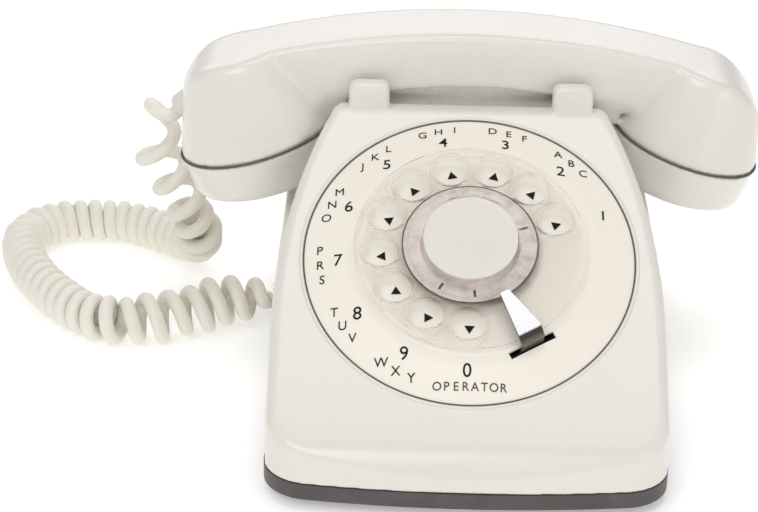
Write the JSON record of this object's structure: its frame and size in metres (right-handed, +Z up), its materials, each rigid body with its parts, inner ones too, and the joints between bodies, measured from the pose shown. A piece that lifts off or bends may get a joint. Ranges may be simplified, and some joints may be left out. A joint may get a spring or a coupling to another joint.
{
  "type": "rotary telephone",
  "caption": "Desk telephone with a sloping rotary dial, clear finger wheel, handset across a cradle and a curly handset cord.",
  "frame": {"origin": "on the surface that the feet stand on, under the middle of the telephone without its cord", "axes": "+Z up, -Y the dial's side (the front), +X the user's right, along the handset"},
  "size_m": [0.3103, 0.2302, 0.131],
  "materials": {
    "ivory_plastic": "smooth moulded ivory plastic with a soft shine",
    "ivory_cap": "smooth moulded ivory plastic, slightly warmer",
    "dial_plate": "ivory enamel with printed dark digits and grey letters",
    "clear_plastic": "clear moulded acrylic",
    "card_paper": "blank off-white card",
    "bright_steel": "bright rolled stainless strip",
    "zinc_steel": "zinc-plated pressed steel",
    "base_paint": "dark grey-brown enamelled steel",
    "foot_rubber": "black moulded rubber",
    "brass": "turned brass",
    "gong_brass": "spun bell brass, lightly lacquered",
    "coil_wrap": "varnished paper and copper winding",
    "black_plastic": "black phenolic moulding",
    "plunger_plastic": "translucent white plastic",
    "cord_plastic": "soft ivory vinyl jacket",
    "spring_steel": "tempered spring steel",
    "network_case": "grey enamelled can"
  },
  "bodies": {
    "base": {"base_plate": "base_paint", "foot_front_left": "foot_rubber", "foot_front_right": "foot_rubber", "foot_rear_left": "foot_rubber", "foot_rear_right": "foot_rubber", "base_screws": "zinc_steel", "screw_bosses": "zinc_steel", "housing_shell": "ivory_plastic", "number_plate": "dial_plate", "dial_frame": "zinc_steel", "dial_bracket": "zinc_steel", "finger_stop": "bright_steel", "governor_cup": "brass", "governor_bracket": "zinc_steel", "dial_bridge": "brass", "mainspring": "spring_steel", "pulse_springs": "spring_steel", "ringer_frame": "zinc_steel", "ringer_coil": "coil_wrap", "gong_left": "gong_brass", "gong_right": "gong_brass", "gong_screws": "zinc_steel", "hook_bracket": "zinc_steel", "hook_spring": "spring_steel", "hook_contacts": "black_plastic", "network_block": "network_case", "terminal_screws": "brass", "line_inlet": "black_plastic", "base_cord_bush": "cord_plastic", "handset_cord": "cord_plastic"},
    "dial_wheel": {"finger_wheel": "clear_plastic", "card_clamp": "bright_steel", "number_card": "card_paper", "card_cover": "clear_plastic", "wheel_screw": "brass", "dial_shaft": "zinc_steel", "drive_gear": "brass"},
    "pulse_train": {"cam_pinion": "brass", "pulse_cam": "black_plastic", "worm_wheel": "brass"},
    "governor": {"governor_worm": "zinc_steel", "governor_weights": "brass"},
    "striker": {"clapper": "zinc_steel"},
    "loudness": {"ringer_volume_wheel": "black_plastic"},
    "left_plunger": {"plunger_left": "plunger_plastic"},
    "right_plunger": {"plunger_right": "plunger_plastic"},
    "switch_lever": {"hook_lever": "zinc_steel"},
    "handset": {"handset_handle": "ivory_plastic", "transmitter_cap": "ivory_cap", "receiver_cap": "ivory_cap", "transmitter_capsule": "zinc_steel", "transmitter_cup": "black_plastic", "receiver_capsule": "black_plastic", "handset_cord_bush": "cord_plastic"}
  },
  "joints": [
    {"name": "dial_spin", "type": "hinge", "parent": "base", "child": "dial_wheel", "pos_m": [0, -0.03636, 0.07461], "axis": [0, -0.5446, 0.8387], "range_deg": [-312, 0], "stiffness_Nm_per_rad": 0.004, "springref_deg": 68.75},
    {"name": "pulse_train_spin", "type": "hinge", "parent": "base", "child": "pulse_train", "pos_m": [-0.02548, -0.03433, 0.05446], "axis": [0, -0.5446, 0.8387], "range_deg": [-10, 1260]},
    {"name": "governor_spin", "type": "hinge", "parent": "base", "child": "governor", "pos_m": [-0.01388, -0.02339, 0.05465], "axis": [0, 0.8387, 0.5446], "range_deg": [-20, 12600]},
    {"name": "striker_swing", "type": "hinge", "parent": "base", "child": "striker", "pos_m": [0, -0.0275, 0.02], "axis": [0, 0, 1], "range_deg": [-5, 5], "stiffness_Nm_per_rad": 0.01},
    {"name": "loudness_turn", "type": "hinge", "parent": "base", "child": "loudness", "pos_m": [0.036, -0.014, 0.003], "axis": [0, 0, 1], "range_deg": [0, 150]},
    {"name": "handset_lift", "type": "slide", "parent": "base", "child": "handset", "axis": [0, 0, 1], "range_m": [0, 0.06], "deforming": ["handset_cord"]},
    {"name": "left_plunger_travel", "type": "slide", "parent": "base", "child": "left_plunger", "axis": [0, 0, 1], "range_m": [0, 0.005]},
    {"name": "right_plunger_travel", "type": "slide", "parent": "base", "child": "right_plunger", "axis": [0, 0, 1], "range_m": [0, 0.005]},
    {"name": "switch_lever_swing", "type": "hinge", "parent": "base", "child": "switch_lever", "pos_m": [0, 0.068, 0.078], "axis": [1, 0, 0], "range_deg": [-13.5, 0.5]}
  ],
  "couplings": [
    {"joint": "pulse_train_spin", "follows": "dial_spin", "ratio": -4},
    {"joint": "governor_spin", "follows": "dial_spin", "ratio": -40},
    {"joint": "left_plunger_travel", "follows": "handset_lift", "ratio": 0.083333},
    {"joint": "right_plunger_travel", "follows": "handset_lift", "ratio": 0.083333},
    {"joint": "switch_lever_swing", "follows": "handset_lift", "rad_per_m": -3.78}
  ]
}
